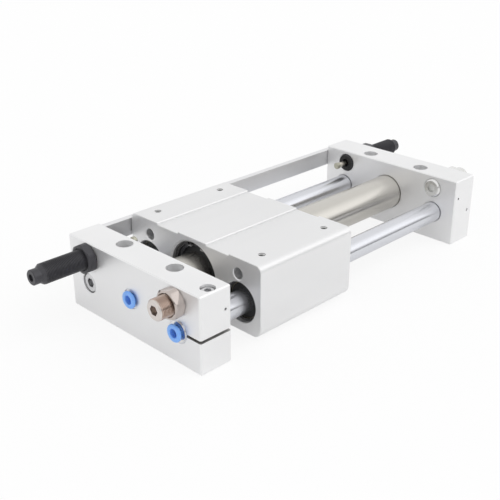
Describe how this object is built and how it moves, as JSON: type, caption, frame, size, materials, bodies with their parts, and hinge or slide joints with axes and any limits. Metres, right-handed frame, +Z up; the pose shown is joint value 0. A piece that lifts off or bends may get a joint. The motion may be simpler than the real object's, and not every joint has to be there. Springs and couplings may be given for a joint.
{
  "type": "rodless pneumatic cylinder",
  "caption": "Guided rodless air cylinder: a magnetically coupled carriage slides on guide shafts and a tube between end plates, with shock absorbers and stop bolts.",
  "frame": {"origin": "midway between the end plates, on the plane that the plates' feet stand on", "axes": "+X along the stroke away from the port end, +Y toward the sensor rail, +Z up out of the table"},
  "size_m": [0.379, 0.135, 0.054],
  "materials": {
    "anodised_aluminium": "clear anodised, satin",
    "stainless_tube": "ground stainless steel",
    "chromed_shaft": "ground and hard chromed",
    "black_steel": "black oxide",
    "nickel_steel": "nickel plated",
    "zinc_screws": "zinc plated",
    "spring_steel": "hardened spring steel",
    "magnet": "plated rare earth magnet",
    "yoke_iron": "soft iron",
    "blue_plastic": "moulded acetal",
    "bearing_plastic": "filled bearing polymer",
    "black_rubber": "nitrile rubber"
  },
  "bodies": {
    "frame": {"front_plate": "anodised_aluminium", "rear_plate": "anodised_aluminium", "cylinder_tube": "stainless_tube", "tube_seals": "black_rubber", "shaft_seal": "black_rubber", "passage_plug": "zinc_screws", "guide_shaft_left": "chromed_shaft", "guide_shaft_right": "chromed_shaft", "shaft_end_screws": "zinc_screws", "clamp_screw": "zinc_screws", "shaft_set_screw": "black_steel", "sensor_rail": "anodised_aluminium", "rail_screws": "zinc_screws", "front_shock_body": "black_steel", "rear_shock_body": "black_steel", "shock_nuts": "black_steel", "stop_bolts": "nickel_steel", "stop_nuts": "nickel_steel", "tube_port_fitting": "nickel_steel", "tube_port_hose_seal": "black_rubber", "shaft_port_fitting": "nickel_steel", "shaft_port_hose_seal": "black_rubber"},
    "carriage": {"carriage_block": "anodised_aluminium", "outer_yokes": "yoke_iron", "outer_magnets": "magnet", "end_collars": "anodised_aluminium", "wear_rings": "bearing_plastic", "scrapers": "black_rubber", "retaining_rings": "spring_steel", "bushing_sleeves": "spring_steel", "bushing_cages": "bearing_plastic", "bushing_seals": "black_rubber", "bushing_clips": "spring_steel", "strike_rods": "nickel_steel", "sensor_magnet": "magnet"},
    "piston": {"inner_yokes": "yoke_iron", "inner_magnets": "magnet", "piston_rod": "chromed_shaft", "piston_heads": "anodised_aluminium", "piston_guides": "bearing_plastic", "piston_seals": "black_rubber", "bumpers": "black_rubber"},
    "front_shock_plunger": {"front_shock_rod": "chromed_shaft"},
    "rear_shock_plunger": {"rear_shock_rod": "chromed_shaft"},
    "tube_port_release": {"tube_port_collar": "blue_plastic"},
    "shaft_port_release": {"shaft_port_collar": "blue_plastic"}
  },
  "joints": [
    {"name": "carriage_slide", "type": "slide", "parent": "frame", "child": "carriage", "axis": [1, 0, 0], "range_m": [-0.0245, 0.1255]},
    {"name": "piston_slide", "type": "slide", "parent": "frame", "child": "piston", "axis": [1, 0, 0], "range_m": [-0.0245, 0.1255]},
    {"name": "front_shock_push", "type": "slide", "parent": "frame", "child": "front_shock_plunger", "axis": [-1, 0, 0], "range_m": [0, 0.012], "stiffness_N_per_m": 760, "springref_m": -0.009},
    {"name": "rear_shock_push", "type": "slide", "parent": "frame", "child": "rear_shock_plunger", "axis": [1, 0, 0], "range_m": [0, 0.012], "stiffness_N_per_m": 760, "springref_m": -0.009},
    {"name": "tube_port_press", "type": "slide", "parent": "frame", "child": "tube_port_release", "axis": [1, 0, 0], "range_m": [0, 0.0012], "stiffness_N_per_m": 1000, "springref_m": -0.0005},
    {"name": "shaft_port_press", "type": "slide", "parent": "frame", "child": "shaft_port_release", "axis": [1, 0, 0], "range_m": [0, 0.0012], "stiffness_N_per_m": 1000, "springref_m": -0.0005}
  ],
  "couplings": [
    {"joint": "piston_slide", "follows": "carriage_slide", "ratio": 1}
  ]
}
